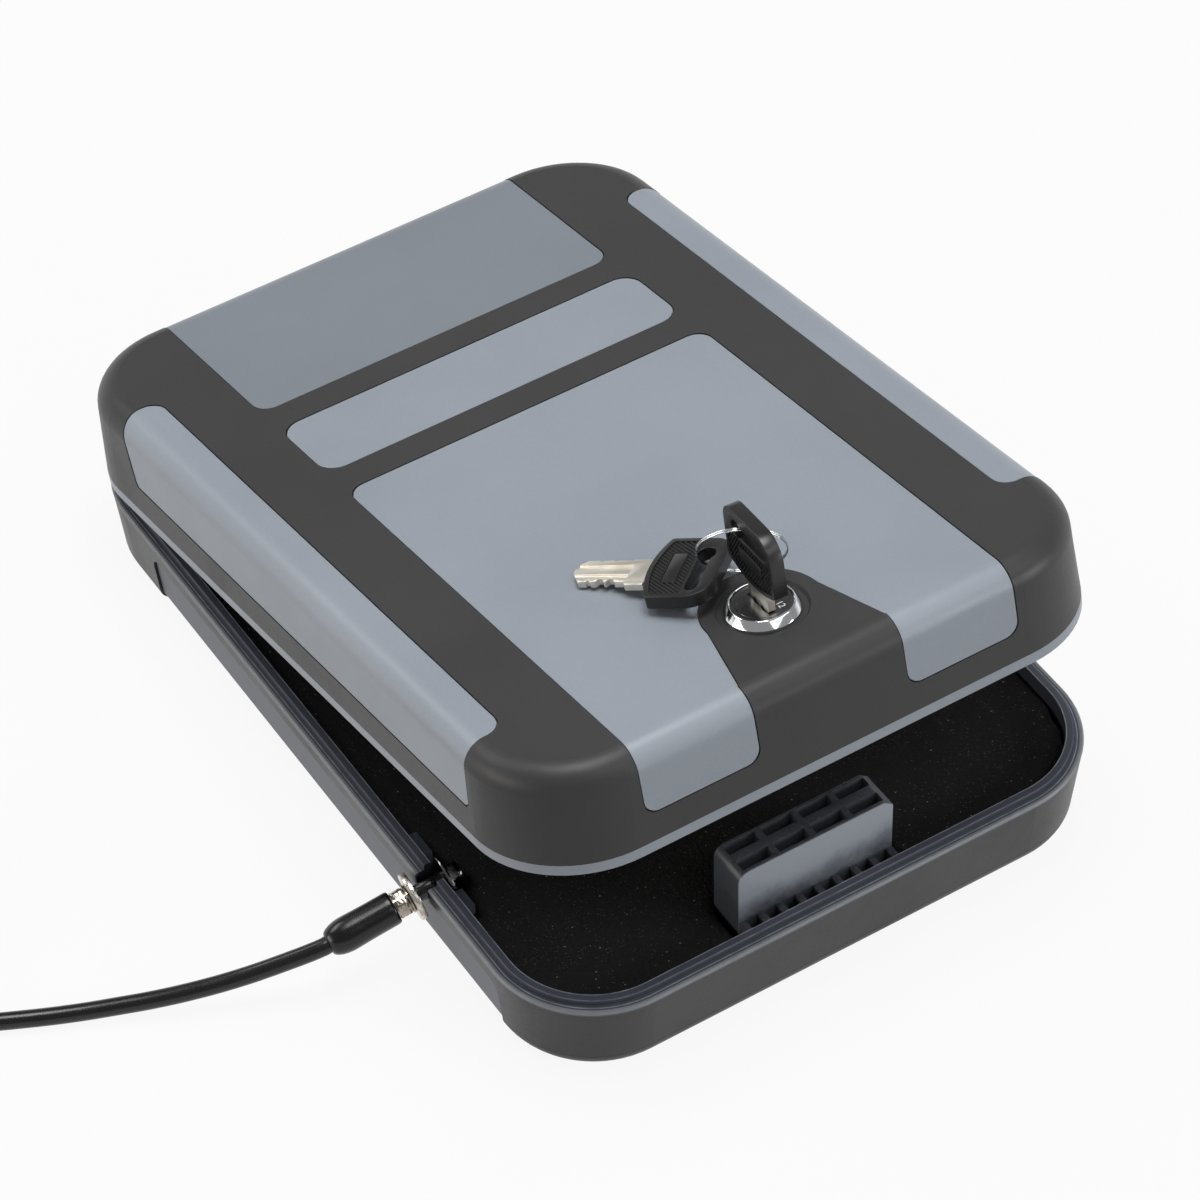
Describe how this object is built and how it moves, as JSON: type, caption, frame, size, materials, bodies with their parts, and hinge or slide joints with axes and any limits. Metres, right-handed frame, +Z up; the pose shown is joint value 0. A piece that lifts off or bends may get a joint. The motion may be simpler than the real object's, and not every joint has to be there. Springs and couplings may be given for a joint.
{
  "type": "portable lock box",
  "caption": "Flat portable lock box with a hinged lid, cam lock and key in the lid, a spare key on a ring, foam lining and a looped tether cable clamped in the rim",
  "frame": {"origin": "middle of the underside, on the face that the closed box stands on", "axes": "+X to the right seen from the front (lock side), +Y towards the hinge, +Z up; the rest pose is the pictured one, lid open 11.5 degrees"},
  "size_m": [0.4155, 0.2597, 0.1263],
  "materials": {
    "shell": "fine-grained blue-gray moulded plastic",
    "tray": "darker blue-gray moulded plastic, rubbed lighter along its rim",
    "overmould": "matte charcoal soft overmould",
    "keeper": "blue-gray moulded plastic",
    "foam": "black open-cell foam with fine bright specks",
    "chrome": "polished chrome plate with fine wear",
    "steel": "plain zinc-plated steel",
    "nickel": "nickel-plated key blank",
    "key_plastic": "black moulded plastic",
    "sheath": "smooth black cable sheath"
  },
  "bodies": {
    "base": {"base_shell": "tray", "base_overmould": "overmould", "base_foam": "foam", "latch_keeper": "keeper", "keeper_screws": "steel", "hinge_pin": "steel", "cable_ferrule": "chrome", "outer_washer": "steel", "inner_washer": "chrome", "cable_stop": "chrome", "cable_sleeve": "sheath", "cable": "sheath", "cable_coil": "sheath", "cable_loop": "sheath", "loop_sleeve": "steel"},
    "lid": {"lid_shell": "shell", "lid_overmould": "overmould", "lid_foam": "foam", "lock_housing": "chrome", "lock_nut": "steel"},
    "plug": {"lock_plug": "chrome", "lock_cam": "steel", "cam_screw": "steel"},
    "key": {"key_blade": "nickel", "key_head": "key_plastic"},
    "ring": {"key_ring": "chrome"},
    "spare_key": {"spare_blade": "nickel", "spare_head": "key_plastic"}
  },
  "joints": [
    {"name": "lid_hinge", "type": "hinge", "parent": "base", "child": "lid", "pos_m": [0, 0.1224, 0.0239], "axis": [-1, 0, 0], "range_deg": [-11.5, 75]},
    {"name": "key_turn", "type": "hinge", "parent": "lid", "child": "plug", "pos_m": [0, -0.08681, 0.09861], "axis": [0, -0.1994, -0.9799], "range_deg": [-5, 85]},
    {"name": "key_pull", "type": "slide", "parent": "plug", "child": "key", "axis": [0, 0.1994, 0.9799], "range_m": [0, 0.026]},
    {"name": "ring_swing", "type": "hinge", "parent": "key", "child": "ring", "pos_m": [0.00051, -0.07684, 0.11862], "axis": [0.9962, -0.0854, 0.0174], "range_deg": [0, 20]},
    {"name": "spare_swing", "type": "hinge", "parent": "ring", "child": "spare_key", "pos_m": [-0.00292, -0.06663, 0.10011], "axis": [0.0818, -0.293, -0.9526], "range_deg": [0, 12]}
  ]
}
